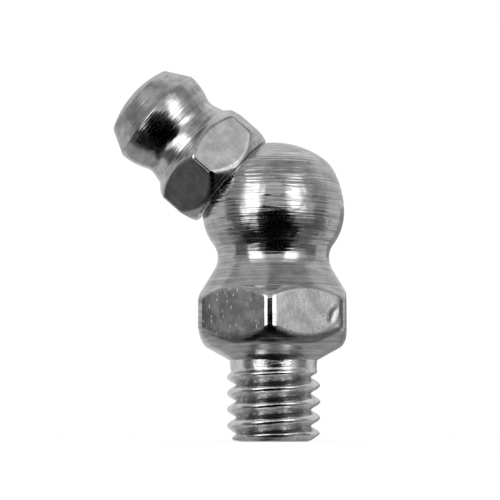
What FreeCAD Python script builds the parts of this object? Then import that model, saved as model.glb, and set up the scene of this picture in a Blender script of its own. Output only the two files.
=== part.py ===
import FreeCAD, Part
import math
import os
import re
from collections import namedtuple

import Sketcher

# Angled grease nipple with an M6 x 1 thread, in millimetres.
# The thread's axis is Z, with +Z up. z = 0 is where the underside of the hexagon
# meets the relief neck above the thread. The head leans towards -X.
# Heights along the head are counted on its own slanted axis, from the elbow point
# where that axis crosses the thread's axis.
# The screw thread is left plain here, at its crest diameter.

SIZES = [
    # Threaded shank
    ("crest_radius", 2.95, "thread crest"),
    ("shank_length", 5.0, "seat plane to the end of the thread"),
    ("end_chamfer", 0.5, "45 degree chamfer on the end of the thread"),
    ("relief_radius", 2.7, "plain neck above the thread"),
    ("relief_length", 0.5, "length of the plain neck"),
    # Hexagon of the body
    ("across_flats", 9.0, "spanner size"),
    ("hexagon_turn_angle", -93.5, "direction of the corner that faces the front"),
    ("corner_round", 0.73, "rounding of the hexagon's corners"),
    ("hexagon_top", 3.67, "where the upper chamfer would leave the sharp corners"),
    ("underside_angle", 29.0, "underside cone, from horizontal"),
    ("underside_inset", 0.3, "from the flats in to the end of the underside cone"),
    ("lower_chamfer_angle", 52.0, "lower corner chamfer, from horizontal"),
    ("upper_chamfer_angle", 48.0, "upper corner chamfer, from the axis"),
    ("underside_round", 0.6, "rounding at the rim of the underside"),
    # Cone, neck and ball of the body
    ("cone_inset", 0.1, "from the flats in to the foot of the cone above them"),
    ("cone_angle", 31.0, "cone, from the axis"),
    ("neck_height", 6.435, "where the cone and the ball would meet"),
    ("neck_round", 0.85, "rounding of the neck"),
    ("ball_radius", 4.4, "widest radius of the ball"),
    ("ball_height", 9.2, "height of the widest place"),
    ("shoulder_radius", 3.55, "where the side of the ball meets its dome"),
    ("shoulder_rise", 2.98, "height of that place above the widest one"),
    ("shoulder_round", 2.5, "rounding of the shoulder"),
    ("dome_rise", 1.34, "rise of the dome above the shoulder"),
    # Bores of the body
    ("passage_radius", 1.25, "grease passage"),
    ("outlet_chamfer", 0.25, "chamfer at the mouth of the passage"),
    ("drill_point_angle", 118.0, "end of the upright passage"),
    ("elbow_height", 8.83, "where the two axes cross"),
    ("lean_angle", 48.5, "head axis, from the thread's axis"),
    ("seat_distance", 3.4, "elbow point to the flat that the head sits on"),
    ("socket_depth", 2.65, "depth of the socket under that flat"),
    ("spigot_radius", 2.0, "pressed fit of the head in the ball"),
    ("spigot_gap", 0.05, "space under the end of the spigot"),
    # Collar of the head
    ("seat_boss_radius", 2.6, "ring of the head that sits on the flat"),
    ("seat_boss_length", 0.12, "gap that this ring leaves under the collar"),
    ("collar_rim_inset", 0.07, "from the flats in to the edge next to the ball"),
    ("collar_back_angle", 33.0, "back chamfer of the collar, from its axis"),
    ("collar_flats", 6.7, "across the flats of the collar"),
    ("collar_corner_round", 0.22, "rounding of the collar's corners"),
    ("collar_turn_angle", -101.0, "direction of the collar corner at the front"),
    ("collar_length", 3.26, "from its edge next to the ball to the head's neck"),
    ("collar_front_angle", 45.0, "front chamfer of the collar, from its axis"),
    # Neck, bulge and tip of the head
    ("head_neck_radius", 2.98, "neck at the collar"),
    ("waist_rise", 0.94, "narrowest place of the head, above the collar"),
    ("waist_round", 1.0, "rounding of the waist"),
    ("swell_rise", 0.465, "from the waist up to the start of the bulge"),
    ("swell_angle", 23.5, "flare of the waist into the bulge, from the axis"),
    ("bulge_arc", 3.7, "arc of the bulge, up to its ridge"),
    ("bulge_radius", 3.25, "ridge of the bulge, which the coupler grips"),
    ("front_cone_angle", 28.5, "cone before the ridge, from the axis"),
    ("tip_edge_radius", 2.45, "rim of the domed tip"),
    ("tip_dome", 0.545, "rise of the dome above that rim"),
    # Valve
    ("lip_radius", 0.8, "hole in the staked lip that holds the spring"),
    ("lip_thickness", 0.4, "thickness of that lip"),
    ("valve_bore_radius", 1.3, "bore for the check ball and its spring"),
    ("orifice_radius", 0.75, "inlet in the tip"),
    ("seat_depth", 0.35, "top of the tip down to where the seat cone meets the inlet"),
    ("seat_angle", 45.0, "seat cone, from the axis"),
    ("check_ball_radius", 1.2, "check ball"),
    ("seat_clearance", 0.025, "between the closed ball and its seat"),
    ("wire_radius", 0.15, "spring wire"),
    ("coil_radius", 1.0, "spring, axis to the middle of the wire"),
    ("coil_turns", 5.0, "turns of the spring"),
    ("spring_clearance", 0.02, "at each end of the spring"),
    # How far a cutting shape reaches past the solid
    ("cut_reach", 1.0, "past the surface"),
]

# Heights and radii that follow from the sizes
CORNER_RADIUS = "(across_flats / sqrt(3))"
CONE_RADIUS = "(across_flats / 2 - cone_inset)"
CONE_FOOT = f"(hexagon_top + ({CORNER_RADIUS} - {CONE_RADIUS}) / tan(upper_chamfer_angle))"
NECK_RADIUS = f"({CONE_RADIUS} - (neck_height - {CONE_FOOT}) * tan(cone_angle))"
SHOULDER_HEIGHT = "(ball_height + shoulder_rise)"
UNDERSIDE_RADIUS = "(across_flats / 2 - underside_inset)"
UNDERSIDE_RIM = f"(({UNDERSIDE_RADIUS} - relief_radius) * tan(underside_angle))"
HEXAGON_FOOT = (f"({UNDERSIDE_RIM} + ({CORNER_RADIUS} - {UNDERSIDE_RADIUS})"
                " * tan(lower_chamfer_angle))")
SPIGOT_END = "(seat_distance - socket_depth + spigot_gap)"
LIP_TOP = f"({SPIGOT_END} + lip_thickness)"
RIM_HEIGHT = "(seat_distance + seat_boss_length)"
COLLAR_TOP = f"({RIM_HEIGHT} + collar_length)"
COLLAR_RIM = "(collar_flats / 2 - collar_rim_inset)"
COLLAR_CORNER = "(collar_flats / sqrt(3))"
WAIST_HEIGHT = f"({COLLAR_TOP} + waist_rise)"
SWELL_HEIGHT = f"({WAIST_HEIGHT} + swell_rise)"
SWELL_RADIUS = "(bulge_radius - bulge_arc * (1 - cos(swell_angle)))"
WAIST_RADIUS = f"({SWELL_RADIUS} - swell_rise * tan(swell_angle))"
BULGE_HEIGHT = f"({SWELL_HEIGHT} + bulge_arc * sin(swell_angle))"
TIP_EDGE = f"({BULGE_HEIGHT} + (bulge_radius - tip_edge_radius) / tan(front_cone_angle))"
TIP_TOP = f"({TIP_EDGE} + tip_dome)"
SEAT_HEIGHT = f"({TIP_TOP} - seat_depth)"
SEAT_START = f"({SEAT_HEIGHT} - (valve_bore_radius - orifice_radius) / tan(seat_angle))"
CHECK_BALL_PLACE = (f"({SEAT_HEIGHT} - (check_ball_radius + seat_clearance"
                    " - orifice_radius * cos(seat_angle)) / sin(seat_angle))")
SPRING_START = f"({LIP_TOP} + wire_radius + spring_clearance)"
SPRING_END = (f"({CHECK_BALL_PLACE} - spring_clearance"
              " - sqrt((check_ball_radius + wire_radius)^2 - coil_radius^2))")

# A corner of an outline: distance from the axis, height, the radius of the arc that
# leads to it, if it isn't a straight line, and the radius that rounds the corner.
Corner = namedtuple("Corner", "out up arc round", defaults=(None, None))


def bound(formula):
    """Formula with every size name pointing at its cell in the sheet."""
    return re.sub(r"[a-z]+(?:_[a-z]+)+", lambda name: "Sizes." + name.group(), formula)


def number(owner, formula):
    """Value of a formula, as a plain number."""
    return float(owner.evalExpression(bound(formula)))


def make_sheet(doc):
    """Sheet of the driving sizes, one row each: name, value, what it is."""
    sheet = doc.addObject("Spreadsheet::Sheet", "Sizes")
    for row, (name, size, meaning) in enumerate(SIZES, start=1):
        sheet.set(f"A{row}", name)
        sheet.set(f"B{row}", str(size))
        sheet.set(f"C{row}", meaning)
        sheet.setAlias(f"B{row}", name)
    doc.recompute()


def new_body(doc, name):
    """Empty body whose label names the piece."""
    body = doc.addObject("PartDesign::Body", name)
    body.Label = name
    return body


def new_sketch(body, name, role):
    """Sketch on one of the body's own origin planes."""
    sketch = body.newObject("Sketcher::SketchObject", name)
    plane = next(item for item in body.Origin.OriginFeatures if item.Role == role)
    sketch.AttachmentSupport = [(plane, "")]
    sketch.MapMode = "FlatFace"
    return sketch


def bind(sketch, constraint, formula):
    """Add a constraint whose size is bound to a formula."""
    index = sketch.addConstraint(constraint)
    sketch.setExpression(f"Constraints[{index}]", bound(formula))


def fix_point(sketch, geometry, end, across, up):
    """Tie a point of a sketch to its two distances from the sketch's origin."""
    for kind, formula in (("DistanceX", across), ("DistanceY", up)):
        size = number(sketch, formula)
        bind(sketch, Sketcher.Constraint(kind, -1, 1, geometry, end, size), formula)


def fix_radius(sketch, geometry, formula):
    """Tie the radius of an arc or circle to a formula."""
    size = number(sketch, formula)
    bind(sketch, Sketcher.Constraint("Radius", geometry, size), formula)


def arc_centre(start, end, radius):
    """Centre of the short arc that bulges to the right of the way from start to end."""
    half = (end - start) / 2
    left = FreeCAD.Vector(-half.y, half.x, 0).normalize()
    return start + half + left * math.sqrt(radius ** 2 - half.Length ** 2)


def heading(start, end, radius, place):
    """Direction of travel at a place on such an arc, or on a straight line."""
    if radius is None:
        return (end - start).normalize()
    spoke = place - arc_centre(start, end, radius)
    return FreeCAD.Vector(-spoke.y, spoke.x, 0).normalize()


def rounding(place, ahead, after, radius):
    """Entry, crown and exit of the arc that rounds a corner between two directions."""
    half_turn = ahead.getAngle(after) / 2
    reach = radius * math.tan(half_turn)
    rise = radius * (1 / math.cos(half_turn) - 1)
    crown = place + (after - ahead).normalize() * rise
    return place - ahead * reach, crown, place + after * reach


def draw_edge(sketch, start, end, centre, radius):
    """Straight line, or the arc about a centre, from start to end."""
    if radius is None:
        sketch.addGeometry(Part.LineSegment(start, end), False)
    else:
        crown = centre + ((start + end) / 2 - centre).normalize() * radius
        sketch.addGeometry(Part.Arc(start, crown, end), False)


def round_corner(sketch, edges, curve, turns_left, corner):
    """Tangent arc between two edges, which keeps the place of the sharp corner."""
    before, after = edges
    bend = sketch.addGeometry(curve, False)
    entry, leave = (1, 2) if turns_left else (2, 1)
    sharp = sketch.addGeometry(Part.Point((curve.StartPoint + curve.EndPoint) / 2), True)
    sketch.addConstraint([
        Sketcher.Constraint("Tangent", before, 2, bend, entry),
        Sketcher.Constraint("Tangent", bend, leave, after, 1),
        Sketcher.Constraint("PointOnObject", sharp, 1, before),
        Sketcher.Constraint("PointOnObject", sharp, 1, after),
    ])
    fix_radius(sketch, bend, corner.round)
    fix_point(sketch, sharp, 1, corner.out, corner.up)


def draw_outline(sketch, corners):
    """Closed outline through the corners, with straight lines, arcs and rounded corners."""
    count = len(corners)
    points = [FreeCAD.Vector(number(sketch, c.out), number(sketch, c.up), 0) for c in corners]
    radii = [number(sketch, c.arc) if c.arc else None for c in corners]
    bends = {}
    for place, corner in enumerate(corners):
        if corner.round:
            after_place = (place + 1) % count
            ahead = heading(points[place - 1], points[place], radii[place], points[place])
            after = heading(points[place], points[after_place], radii[after_place],
                            points[place])
            ends = rounding(points[place], ahead, after, number(sketch, corner.round))
            bends[place] = ends, ahead.cross(after).z > 0
    for place, corner in enumerate(corners):
        before = (place - 1) % count
        start = bends[before][0][2] if before in bends else points[before]
        end = bends[place][0][0] if place in bends else points[place]
        radius = radii[place]
        centre = arc_centre(points[before], points[place], radius) if radius else None
        draw_edge(sketch, start, end, centre, radius)
        if radius:
            fix_radius(sketch, place, corner.arc)
    for place, corner in enumerate(corners):
        following = (place + 1) % count
        if place in bends:
            ends, turns_left = bends[place]
            round_corner(sketch, (place, following), Part.Arc(*ends), turns_left, corner)
        else:
            sketch.addConstraint(Sketcher.Constraint("Coincident", place, 2, following, 1))
            fix_point(sketch, place, 2, corner.out, corner.up)


def turn_outline(body, kind, name, corners, place_sketch=None):
    """Revolution or Groove of an outline about the sketch's upright axis."""
    sketch = new_sketch(body, name + "_outline", "XZ_Plane")
    if place_sketch:
        place_sketch(sketch)
    draw_outline(sketch, corners)
    feature = body.newObject(kind, name)
    feature.Profile = sketch
    feature.ReferenceAxis = (sketch, ["V_Axis"])
    feature.Angle = 360
    body.Document.recompute()
    return feature


def draw_hexagon(sketch, radius, turn, middle=("0", "0"), round=None):
    """Six-sided outline with its corners at a radius, the first one in a given direction."""
    across, up = middle
    angles = [f"({turn} + {60 * side})" for side in range(6)]
    draw_outline(sketch, [
        Corner(f"{across} + {radius} * cos({angle})", f"{up} + {radius} * sin({angle})",
               round=round)
        for angle in angles
    ])


def mill_hexagon(body, name, flats, turn, foot, height, round=None):
    """Six flats, cut from a foot height over a given height."""
    sketch = new_sketch(body, name + "_outline", "XY_Plane")
    sketch.setExpression("AttachmentOffset.Base.z", bound(foot))
    body.Document.recompute()
    draw_hexagon(sketch, f"{flats} / sqrt(3)", turn, round=round)
    outside = f"{flats} / 2 + 2 * cut_reach"
    circle = Part.Circle(FreeCAD.Vector(0, 0, 0), FreeCAD.Vector(0, 0, 1), number(sketch, outside))
    ring = sketch.addGeometry(circle, False)
    sketch.addConstraint(Sketcher.Constraint("Coincident", ring, 3, -1, 1))
    fix_radius(sketch, ring, outside)
    before = body.Tip.Shape.Volume
    pocket = body.newObject("PartDesign::Pocket", name)
    pocket.Profile = sketch
    pocket.Reversed = True
    pocket.setExpression("Length", bound(height))
    body.Document.recompute()
    check_cut(pocket, before)


def check_cut(feature, volume_before):
    """Stop if a cut took nothing off the solid."""
    if feature.Shape.Volume > volume_before - 1e-3:
        raise ValueError(feature.Name + " cuts nothing")


def lean(thing, prefix, axis, up):
    """Put a sketch or a piece on the slanted axis at the elbow point."""
    start = FreeCAD.Placement(FreeCAD.Vector(0, 0, 0), FreeCAD.Rotation(axis, 1))
    setattr(thing, prefix, start)
    thing.setExpression(f"{prefix}.Base.{up}", bound("elbow_height"))
    thing.setExpression(f"{prefix}.Rotation.Angle", bound("lean_angle"))


def lean_sketch(sketch):
    """Turn a sketch on the XZ plane so that its upright axis is the head's axis."""
    lean(sketch, "AttachmentOffset", FreeCAD.Vector(0, 0, 1), "y")


def lean_piece(piece):
    """Turn a piece drawn upright so that it stands on the head's axis."""
    lean(piece, "Placement", FreeCAD.Vector(0, -1, 0), "z")


def turn_body_blank(body):
    """Shank, hexagon blank, cone, neck and ball as one turned form."""
    ball_below = (f"((ball_radius - {NECK_RADIUS})^2 + (ball_height - neck_height)^2)"
                  f" / (2 * (ball_radius - {NECK_RADIUS}))")
    ball_above = ("((ball_radius - shoulder_radius)^2 + shoulder_rise^2)"
                  " / (2 * (ball_radius - shoulder_radius))")
    dome = "(shoulder_radius^2 + dome_rise^2) / (2 * dome_rise)"
    turn_outline(body, "PartDesign::Revolution", "turned_blank", [
        Corner("0", "-shank_length"),
        Corner("crest_radius - end_chamfer", "-shank_length"),
        Corner("crest_radius", "end_chamfer - shank_length"),
        Corner("crest_radius", "relief_radius - crest_radius - relief_length"),
        Corner("relief_radius", "-relief_length"),
        Corner("relief_radius", "0"),
        Corner(UNDERSIDE_RADIUS, UNDERSIDE_RIM, round="underside_round"),
        Corner(CORNER_RADIUS, HEXAGON_FOOT),
        Corner(CORNER_RADIUS, "hexagon_top"),
        Corner(CONE_RADIUS, CONE_FOOT),
        Corner(NECK_RADIUS, "neck_height", round="neck_round"),
        Corner("ball_radius", "ball_height", ball_below),
        Corner("shoulder_radius", SHOULDER_HEIGHT, ball_above, "shoulder_round"),
        Corner("0", f"{SHOULDER_HEIGHT} + dome_rise", dome),
    ])


def bore_body(body):
    """Upright passage from the thread's end, and the slanted seat, socket and passage."""
    drill_point = "passage_radius / tan(drill_point_angle / 2)"
    before = body.Tip.Shape.Volume
    upright = turn_outline(body, "PartDesign::Groove", "upright_passage", [
        Corner("0", "-shank_length - cut_reach"),
        Corner("passage_radius + outlet_chamfer + cut_reach", "-shank_length - cut_reach"),
        Corner("passage_radius", "outlet_chamfer - shank_length"),
        Corner("passage_radius", "elbow_height"),
        Corner("0", f"elbow_height + {drill_point}"),
    ])
    check_cut(upright, before)
    before = body.Tip.Shape.Volume
    slanted = turn_outline(body, "PartDesign::Groove", "slanted_socket", [
        Corner("0", "0"),
        Corner("passage_radius", "0"),
        Corner("passage_radius", "seat_distance - socket_depth"),
        Corner("spigot_radius", "seat_distance - socket_depth"),
        Corner("spigot_radius", "seat_distance"),
        Corner("ball_radius + cut_reach", "seat_distance"),
        Corner("ball_radius + cut_reach", "seat_distance + ball_radius"),
        Corner("0", "seat_distance + ball_radius"),
    ], lean_sketch)
    check_cut(slanted, before)


def make_angle_body(doc):
    """One turned piece: thread, hexagon, neck and ball, with its two bores."""
    body = new_body(doc, "angle_body")
    turn_body_blank(body)
    mill_hexagon(body, "hexagon_flats", "across_flats", "hexagon_turn_angle", "0",
                 "neck_height", "corner_round")
    bore_body(body)
    return body


def make_nipple_head(doc):
    """Spigot, six-sided collar and the rounded head that a coupler grips."""
    body = new_body(doc, "nipple_head")
    dome = "(tip_edge_radius^2 + tip_dome^2) / (2 * tip_dome)"
    turn_outline(body, "PartDesign::Revolution", "head_blank", [
        Corner("0", SPIGOT_END),
        Corner("spigot_radius", SPIGOT_END),
        Corner("spigot_radius", "seat_distance"),
        Corner("seat_boss_radius", "seat_distance"),
        Corner("seat_boss_radius", RIM_HEIGHT),
        Corner(COLLAR_RIM, RIM_HEIGHT),
        Corner(COLLAR_CORNER,
               f"{RIM_HEIGHT} + ({COLLAR_CORNER} - {COLLAR_RIM}) / tan(collar_back_angle)"),
        Corner(COLLAR_CORNER,
               f"{COLLAR_TOP} - ({COLLAR_CORNER} - head_neck_radius)"
               " / tan(collar_front_angle)"),
        Corner("head_neck_radius", COLLAR_TOP),
        Corner(WAIST_RADIUS, WAIST_HEIGHT, round="waist_round"),
        Corner(SWELL_RADIUS, SWELL_HEIGHT),
        Corner("bulge_radius", BULGE_HEIGHT, "bulge_arc"),
        Corner("tip_edge_radius", TIP_EDGE),
        Corner("0", TIP_TOP, dome),
    ])
    mill_hexagon(body, "collar_flats_cut", "collar_flats", "collar_turn_angle", "seat_distance",
                 f"{COLLAR_TOP} - seat_distance", "collar_corner_round")
    before = body.Tip.Shape.Volume
    valve = turn_outline(body, "PartDesign::Groove", "valve_bore", [
        Corner("0", f"{SPIGOT_END} - cut_reach"),
        Corner("lip_radius", f"{SPIGOT_END} - cut_reach"),
        Corner("lip_radius", LIP_TOP),
        Corner("valve_bore_radius", LIP_TOP),
        Corner("valve_bore_radius", SEAT_START),
        Corner("orifice_radius", SEAT_HEIGHT),
        Corner("orifice_radius", f"{TIP_TOP} + cut_reach"),
        Corner("0", f"{TIP_TOP} + cut_reach"),
    ])
    check_cut(valve, before)
    lean_piece(body)
    return body


def make_check_ball(doc):
    """Steel ball that closes the inlet, on its seat."""
    ball = doc.addObject("Part::Sphere", "check_ball")
    ball.Label = "check_ball"
    ball.setExpression("Radius", bound("check_ball_radius"))
    ball.setExpression("Placement.Base.x", bound(f"-{CHECK_BALL_PLACE} * sin(lean_angle)"))
    ball.setExpression("Placement.Base.z",
                       bound(f"elbow_height + {CHECK_BALL_PLACE} * cos(lean_angle)"))
    return ball


def make_check_spring(doc):
    """Coil spring between the staked lip and the check ball, its thin round wire six-sided."""
    body = new_body(doc, "check_spring")
    sketch = new_sketch(body, "wire_section", "XZ_Plane")
    draw_hexagon(sketch, "wire_radius", "0", ("coil_radius", SPRING_START))
    coil = body.newObject("PartDesign::AdditiveHelix", "coil")
    coil.Profile = sketch
    coil.ReferenceAxis = (sketch, ["V_Axis"])
    coil.Mode = "height-turns-angle"
    coil.setExpression("Height", bound(f"{SPRING_END} - {SPRING_START}"))
    coil.setExpression("Turns", bound("coil_turns"))
    lean_piece(body)
    return body


def check_document(doc, pieces):
    """Stop if an object failed or a piece isn't one sound solid."""
    for item in doc.Objects:
        if {"Invalid", "Error"} & set(item.State):
            raise ValueError(f"{item.Name} failed: {item.State}")
    for piece in pieces:
        shape = piece.Shape
        if shape.isNull() or not shape.isValid() or len(shape.Solids) != 1:
            raise ValueError(piece.Label + " is not one sound solid")


def main():
    doc = FreeCAD.newDocument("grease_nipple")
    make_sheet(doc)
    pieces = [
        make_angle_body(doc),
        make_nipple_head(doc),
        make_check_ball(doc),
        make_check_spring(doc),
    ]
    doc.recompute()
    check_document(doc, pieces)
    os.makedirs("parts", exist_ok=True)
    for piece in pieces:
        piece.Shape.exportStep(f"parts/{piece.Label}.step")
        box = piece.Shape.BoundBox
        print(piece.Label, "volume %.3f" % piece.Shape.Volume,
              "x %.2f %.2f y %.2f %.2f z %.2f %.2f" % (box.XMin, box.XMax, box.YMin,
                                                      box.YMax, box.ZMin, box.ZMax))


main()
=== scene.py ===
"""Looks of an angled grease nipple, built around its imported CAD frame.

Sizes in the classes are millimetres. A mesh is built in millimetres and becomes metres when
it is finished. Heights on the head are counted along its own slanted axis, from the elbow
point where that axis crosses the thread's axis.
"""

import logging
import math
from collections.abc import Callable, Iterable, Sequence
from dataclasses import dataclass, field
from enum import Enum

import bmesh
import bpy
from mathutils import Matrix, Vector, noise


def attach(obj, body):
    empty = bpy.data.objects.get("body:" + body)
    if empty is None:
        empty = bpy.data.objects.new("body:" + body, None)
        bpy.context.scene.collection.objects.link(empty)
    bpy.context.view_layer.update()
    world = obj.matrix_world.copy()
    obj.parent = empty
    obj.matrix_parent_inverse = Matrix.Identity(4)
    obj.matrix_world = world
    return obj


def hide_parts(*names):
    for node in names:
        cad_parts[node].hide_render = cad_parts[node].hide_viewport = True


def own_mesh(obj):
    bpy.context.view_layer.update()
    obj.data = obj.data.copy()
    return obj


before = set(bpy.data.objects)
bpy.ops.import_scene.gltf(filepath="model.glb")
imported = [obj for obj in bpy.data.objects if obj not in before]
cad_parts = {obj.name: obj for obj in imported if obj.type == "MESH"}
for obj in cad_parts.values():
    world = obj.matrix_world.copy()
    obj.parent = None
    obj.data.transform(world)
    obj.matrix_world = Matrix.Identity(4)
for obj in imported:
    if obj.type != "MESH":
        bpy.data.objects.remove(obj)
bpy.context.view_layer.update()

MM = 0.001
FULL_TURN = 2 * math.pi
SIXTH_TURN = FULL_TURN / 6
# A height in millimetres that no piece reaches.
OUT_OF_REACH = 100.0
# Rounds of correction that settle the centre of a rounded corner.
ROUNDING_PASSES = 8
# Gaps in millimetres: points merged in a turned seam and in a cut piece, and sliver faces.
SEAM_GAP = 1e-5
WELD_GAP = 2e-4
SLIVER = 1e-4
LOG = logging.getLogger("grease_nipple")


class BodyZone(Enum):
    """Surfaces of the body, in the order of its material slots."""

    TURNED = 0
    THREAD = 1
    BORED = 2


class HeadZone(Enum):
    """Surfaces of the head, in the order of its material slots."""

    TURNED = 0
    BORED = 1


@dataclass(frozen=True)
class Lean:
    """Where the head's slanted axis lies: its angle, and the elbow point's height."""

    angle: float = 48.5
    elbow: float = 8.83

    def matrix(self) -> Matrix:
        """Return the transform from the head's upright frame to the part's frame."""
        turn = Matrix.Rotation(math.radians(-self.angle), 4, "Y")
        return Matrix.Translation((0, 0, self.elbow)) @ turn

    def direction(self) -> Vector:
        """Return the direction from the elbow point to the tip of the head."""
        return Vector((-math.sin(math.radians(self.angle)), 0, math.cos(math.radians(self.angle))))

    def point(self, height: float) -> Vector:
        """Return a point on the slanted axis."""
        return Vector((0, 0, self.elbow)) + self.direction() * height


LEAN = Lean()


@dataclass(frozen=True)
class Corner:
    """One corner of a turned outline.

    Args:
        out: distance from the axis.
        up: height on the axis.
        arc: radius of the arc that leads here, bulging to the right of the way.
        round: radius that rounds this corner.
        step: longest stretch between two rows on the way here.
    """

    out: float
    up: float
    arc: float = 0.0
    round: float = 0.0
    step: float = 1.0

    @property
    def place(self) -> Vector:
        """Return the corner as a point of the outline's plane."""
        return Vector((self.out, self.up))


@dataclass(frozen=True)
class Outline:
    """Outline of a turned piece: its corners in order, with arcs and rounded corners.

    Args:
        corners: the corners, upwards on the outer side.
        closed: whether the last corner leads back to the first.
        turn_per_row: largest change of direction between two rows of a rounded corner.
    """

    corners: Sequence[Corner]
    closed: bool = False
    turn_per_row: float = math.radians(6)

    def points(self) -> list[Vector]:
        """Return the points of the outline, with its arcs and roundings divided in rows."""
        points: list[Vector] = []
        leave = [corner.place for corner in self.corners]
        enter = [corner.place for corner in self.corners]
        bends: dict[int, list[Vector]] = {}
        for index, corner in enumerate(self.corners):
            if corner.round:
                bend = self._bend(index)
                bends[index] = bend
                enter[index], leave[index] = bend[0], bend[-1]
        for index, corner in enumerate(self.corners):
            if index or self.closed:
                points += self._edge(index, leave[index - 1], enter[index])
            points += bends.get(index, [corner.place])
        return points

    def _centre(self, index: int) -> Vector:
        """Return the centre of the arc that leads to a corner."""
        start, end = self.corners[index - 1].place, self.corners[index].place
        radius = self.corners[index].arc
        half = (end - start) / 2
        left = Vector((-half.y, half.x)).normalized()
        rise = math.sqrt(radius ** 2 - half.length_squared)
        return start + half + left * math.copysign(rise, radius)

    def _aside(self, index: int, place: Vector) -> tuple[float, Vector]:
        """Return how far left of an edge a place lies, and the way to its left.

        Args:
            index: the corner that the edge leads to.
            place: the place.

        Returns:
            The distance, negative on the right, and the direction to the left.
        """
        corner = self.corners[index]
        if not corner.arc:
            ahead = (corner.place - self.corners[index - 1].place).normalized()
            left = Vector((-ahead.y, ahead.x))
            return left.dot(place - corner.place), left
        spoke = self._centre(index) - place
        side = math.copysign(1, corner.arc)
        return (abs(corner.arc) - spoke.length) * side, spoke.normalized() * side

    def _bend(self, index: int) -> list[Vector]:
        """Return the rows of the arc that rounds a corner between its two edges.

        Args:
            index: the corner.

        Returns:
            The rows, from one edge to the other.
        """
        corner = self.corners[index]
        edges = (index, (index + 1) % len(self.corners))
        before, after = (self._aside(edge, corner.place)[1] for edge in edges)
        side = math.copysign(1, before.cross(after))
        centre = corner.place + (before + after).normalized() * side * corner.round
        for _ in range(ROUNDING_PASSES):
            (near, left), (far, other) = (self._aside(edge, centre) for edge in edges)
            missing = Vector((side * corner.round - near, side * corner.round - far))
            centre += Matrix((left, other)).inverted() @ missing
        first, last = (-self._aside(edge, centre)[1] * side * corner.round for edge in edges)
        turn = first.angle(last)
        rows = max(2, math.ceil(turn / self.turn_per_row))
        return [
            centre + Matrix.Rotation(side * turn * row / rows, 2) @ first
            for row in range(rows + 1)
        ]

    def _edge(self, index: int, start: Vector, end: Vector) -> list[Vector]:
        """Return the rows between the two ends of an edge, without those ends.

        Args:
            index: the corner that the edge leads to.
            start: where the edge starts, past the rounding of the corner before.
            end: where it ends, before the rounding of its own corner.

        Returns:
            The rows, in order.
        """
        corner = self.corners[index]
        rows = max(1, math.ceil((end - start).length / corner.step))
        shares = [row / rows for row in range(1, rows)]
        if not corner.arc:
            return [start.lerp(end, share) for share in shares]
        centre = self._centre(index)
        first, last = start - centre, end - centre
        turn = math.copysign(first.angle(last), corner.arc)
        return [centre + Matrix.Rotation(turn * share, 2) @ first for share in shares]


def soft_min(first: float, second: float, blend: float) -> float:
    """Return the lower of two values, rounded over where they meet.

    Args:
        first: one value.
        second: the other value.
        blend: how near the values are where the rounding starts.

    Returns:
        The blended lower value.
    """
    share = max(blend - abs(first - second), 0.0) / blend
    return min(first, second) - share * share * blend / 4


def soft_max(first: float, second: float, blend: float) -> float:
    """Return the higher of two values, rounded where they meet."""
    return -soft_min(-first, -second, blend)


def ease(start: float, end: float, value: float) -> float:
    """Return 0 before the start, 1 after the end and a smooth rise between them."""
    share = min(max((value - start) / (end - start), 0.0), 1.0)
    return share * share * (3 - 2 * share)


def wander(place: float, seed: float) -> float:
    """Return a smooth wandering value between -1 and 1, the same on every run.

    Args:
        place: where on its way.
        seed: which of the ways.

    Returns:
        The value.
    """
    aside = seed * 0.37
    return noise.noise(Vector((seed, place, aside)))


def spin_outline(outline: Outline, segments: int) -> bmesh.types.BMesh:
    """Turn an outline about the upright axis into a closed form.

    Args:
        outline: the outline, closed or from axis to axis.
        segments: steps of a full turn.

    Returns:
        The turned form, with its seam and its poles merged.
    """
    bm = bmesh.new()
    points = outline.points()
    verts = [bm.verts.new((point.x, 0, point.y)) for point in points]
    edges = [bm.edges.new(pair) for pair in zip(verts, verts[1:])]
    if outline.closed:
        edges.append(bm.edges.new((verts[-1], verts[0])))
    bmesh.ops.spin(bm, geom=verts + edges, cent=(0, 0, 0), axis=(0, 0, 1), dvec=(0, 0, 0),
                   angle=FULL_TURN, steps=segments, use_merge=True, use_duplicate=False)
    bmesh.ops.remove_doubles(bm, verts=bm.verts[:], dist=SEAM_GAP)
    bmesh.ops.recalc_face_normals(bm, faces=bm.faces[:])
    return bm


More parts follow.
